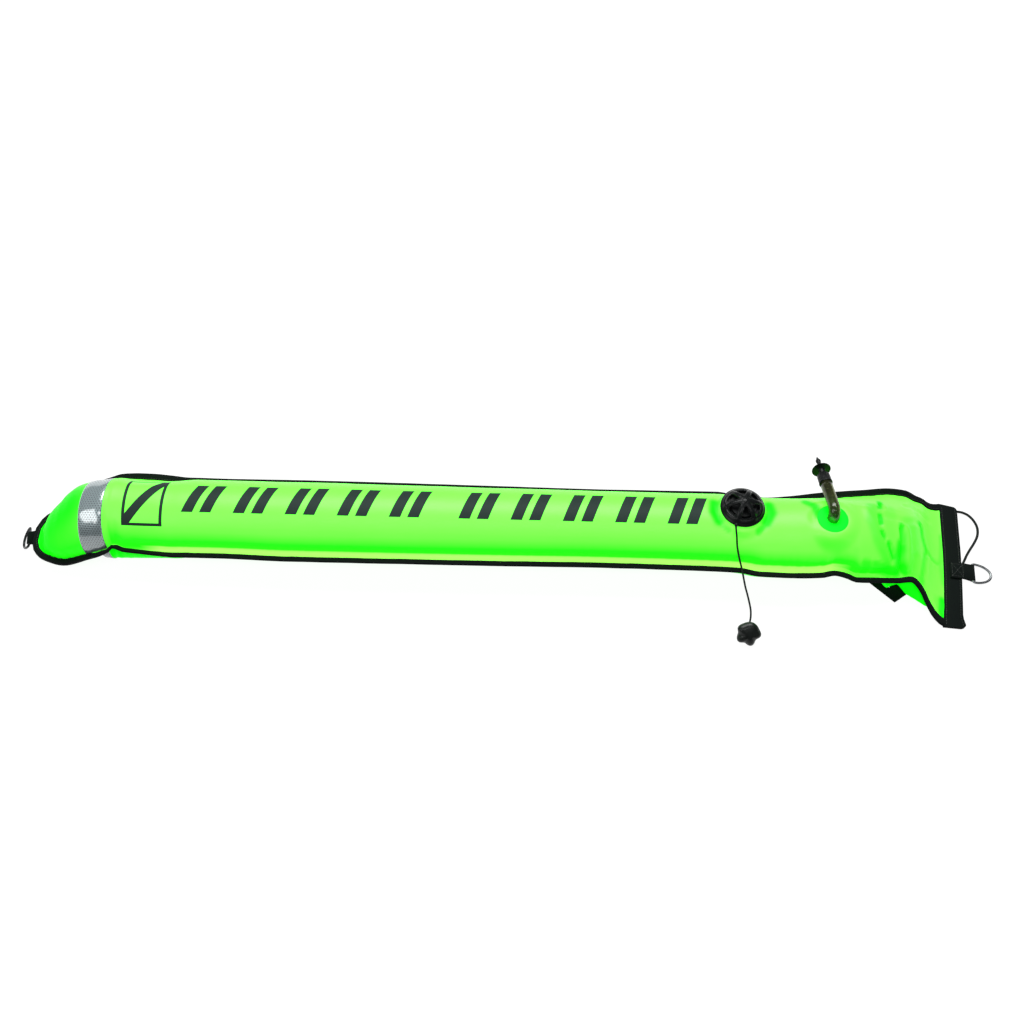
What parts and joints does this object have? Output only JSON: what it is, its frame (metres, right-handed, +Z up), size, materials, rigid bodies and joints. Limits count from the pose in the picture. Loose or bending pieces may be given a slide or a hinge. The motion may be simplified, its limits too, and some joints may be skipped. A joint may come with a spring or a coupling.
{
  "type": "surface marker buoy",
  "caption": "Inflated cloth surface marker buoy with edge tape, reflective band, vented dump valve on a pull cord, oral inflator, webbing hem, bungee loop and D-rings.",
  "frame": {"origin": "on the floor, under the middle of the inflated tube, on the back panel's flat underside", "axes": "+X along the tube from its closed top to its mouth, +Y across it to the side away from the pull knob, +Z up"},
  "size_m": [1.3877, 0.2482, 0.1265],
  "materials": {
    "coated_cloth": "fluorescent green, coated, semi-gloss",
    "edge_tape": "woven black tape, matt",
    "webbing": "woven black webbing, matt",
    "cord": "braided black cord",
    "reflective_tape": "silver-grey honeycomb reflective tape",
    "steel": "stainless steel, polished wire",
    "spring_steel": "stainless spring wire",
    "rubber": "black rubber, matt",
    "knob_rubber": "black rubber, satin",
    "valve_plastic": "moulded black, gloss",
    "inflator_plastic": "moulded black, satin",
    "smoky_plastic": "smoky, see-through in the real one"
  },
  "bodies": {
    "buoy": {"back_panel": "coated_cloth", "bottom_tab": "webbing", "bungee_loop": "cord", "duckbill_lower": "coated_cloth", "duckbill_upper": "coated_cloth", "edge_binding": "edge_tape", "front_panel": "coated_cloth", "hem_lower": "webbing", "hem_upper": "webbing", "inflator_flange": "coated_cloth", "inflator_housing": "inflator_plastic", "inflator_spring": "spring_steel", "inflator_tube": "smoky_plastic", "pull_cord": "cord", "pull_knob": "knob_rubber", "reflective_band_back": "reflective_tape", "reflective_band_front": "reflective_tape", "stow_strap": "webbing", "top_tab": "webbing", "valve_backing_ring": "valve_plastic", "valve_body": "valve_plastic", "valve_cap": "valve_plastic", "valve_gasket": "rubber", "valve_spring": "spring_steel"},
    "dump_poppet": {"valve_poppet": "valve_plastic", "valve_seal": "rubber"},
    "inflator_mouthpiece": {"inflator_stem": "inflator_plastic", "inflator_seal": "rubber"},
    "lock_collar": {"inflator_collar": "inflator_plastic"},
    "bottom_ring": {"bottom_d_ring": "steel"},
    "top_ring": {"top_d_ring": "steel"}
  },
  "joints": [
    {"name": "dump_valve_lift", "type": "slide", "parent": "buoy", "child": "dump_poppet", "axis": [0, 0, 1], "range_m": [0, 0.003], "stiffness_N_per_m": 400, "springref_m": -0.001, "deforming": ["valve_spring"]},
    {"name": "mouthpiece_press", "type": "slide", "parent": "buoy", "child": "inflator_mouthpiece", "axis": [0.059, -0.9641, 0.2588], "range_m": [0, 0.004], "stiffness_N_per_m": 300, "springref_m": -0.001, "deforming": ["inflator_spring"]},
    {"name": "lock_collar_turn", "type": "hinge", "parent": "buoy", "child": "lock_collar", "pos_m": [0.4407, 0.05102, 0.10613], "axis": [-0.059, 0.9641, -0.2588], "range_deg": [0, 270]},
    {"name": "bottom_ring_lift", "type": "hinge", "parent": "buoy", "child": "bottom_ring", "pos_m": [0.66388, -0.02842, 0.00355], "axis": [-0.1013, -0.9949, 0], "range_deg": [0, 150]},
    {"name": "top_ring_lift", "type": "hinge", "parent": "buoy", "child": "top_ring", "pos_m": [-0.67911, -0.01504, 0.02], "axis": [-0.1736, 0.9848, 0], "range_deg": [0, 150]}
  ]
}
